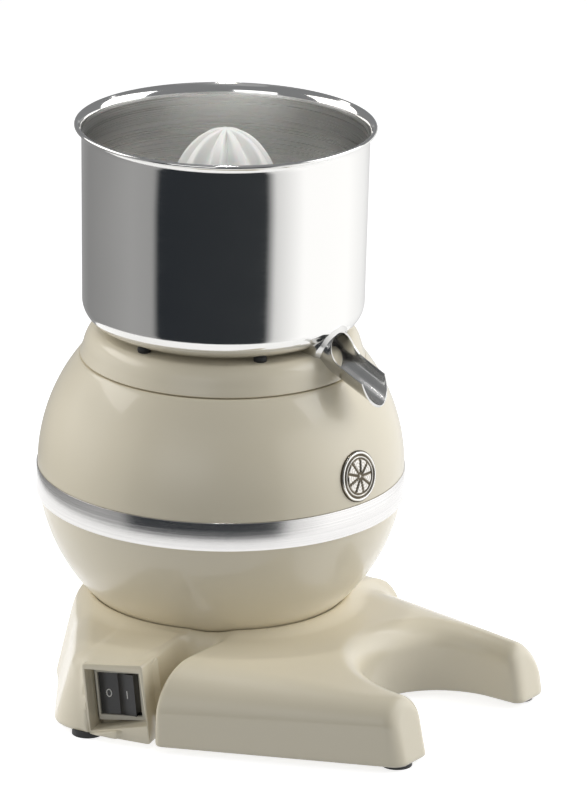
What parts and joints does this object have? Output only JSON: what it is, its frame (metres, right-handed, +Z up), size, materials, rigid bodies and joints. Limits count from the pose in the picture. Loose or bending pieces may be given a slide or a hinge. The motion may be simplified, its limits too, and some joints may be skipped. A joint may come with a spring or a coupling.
{
  "type": "citrus press juicer",
  "caption": "Electric citrus press: round motor housing on a broad foot with a glass bay, lift-off steel bowl with a spout, strainer, ribbed reamer cone and a rocker switch.",
  "frame": {"origin": "where the vertical drive axis meets the ground under the feet", "axes": "+Z up along the drive axis, -Y towards the spout and the glass bay, -X towards the switch"},
  "size_m": [0.2522, 0.2912, 0.3343],
  "materials": {
    "cream_paint": "gloss enamel over die-cast aluminium",
    "polished_steel": "mirror-polished stainless steel",
    "brushed_band": "brushed stainless steel",
    "badge_metal": "polished and darkened",
    "cone_plastic": "satin moulding",
    "black_rubber": "matt",
    "panel_plastic": "satin moulding",
    "rocker_plastic": "gloss",
    "black_plastic": "satin",
    "fastener_steel": "zinc plated",
    "lamination_steel": "bare laminations",
    "copper": "enamelled copper wire",
    "bronze": "sintered bronze",
    "motor_aluminium": "as cast"
  },
  "bodies": {
    "housing": {"base_casting": "cream_paint", "base_cover": "black_plastic", "rubber_feet": "black_rubber", "foot_screws": "fastener_steel", "cover_screws": "fastener_steel", "lower_shell": "cream_paint", "upper_shell": "cream_paint", "trim_band": "brushed_band", "shell_screws": "fastener_steel", "neck_collar": "cream_paint", "bowl_pads": "black_rubber", "collar_screws": "fastener_steel", "collar_pillars": "fastener_steel", "shaft_seal": "black_rubber", "stator_core": "lamination_steel", "stator_windings": "copper", "motor_shield_upper": "motor_aluminium", "motor_shield_lower": "motor_aluminium", "shaft_bushes": "bronze", "motor_bolts": "fastener_steel", "motor_isolators": "black_rubber", "mount_screws": "fastener_steel", "run_capacitor": "motor_aluminium", "capacitor_clamp": "fastener_steel", "terminal_block": "black_plastic", "switch_panel": "panel_plastic", "switch_body": "black_plastic", "cable_gland": "black_plastic", "gland_nut": "black_plastic", "badge": "badge_metal"},
    "rotor": {"drive_shaft": "fastener_steel", "drive_pin": "fastener_steel", "rotor_core": "lamination_steel", "cooling_fan": "black_plastic"},
    "reamer": {"reamer_cone": "cone_plastic", "cone_hub": "bronze"},
    "bowl": {"bowl": "polished_steel", "spout": "polished_steel"},
    "strainer": {"strainer": "polished_steel"},
    "rocker": {"switch_rocker": "rocker_plastic"}
  },
  "joints": [
    {"name": "rotor_spin", "type": "hinge", "parent": "housing", "child": "rotor", "pos_m": [0, 0, 0.15], "axis": [0, 0, 1], "continuous": true},
    {"name": "cone_lift", "type": "slide", "parent": "rotor", "child": "reamer", "axis": [0, 0, 1], "range_m": [0, 0.14]},
    {"name": "bowl_lift", "type": "slide", "parent": "housing", "child": "bowl", "axis": [0, 0, 1], "range_m": [0, 0.07]},
    {"name": "strainer_lift", "type": "slide", "parent": "bowl", "child": "strainer", "axis": [0, 0, 1], "range_m": [0, 0.035]},
    {"name": "rocker_press", "type": "hinge", "parent": "housing", "child": "rocker", "pos_m": [-0.11854, -0.01947, 0.0256], "axis": [-0.0235, 0.1107, 0.9936], "range_deg": [0, 16]}
  ],
  "couplings": [
    {"joint": "bowl_lift", "follows": "cone_lift", "ratio": 0.5},
    {"joint": "strainer_lift", "follows": "cone_lift", "ratio": 0.25}
  ]
}
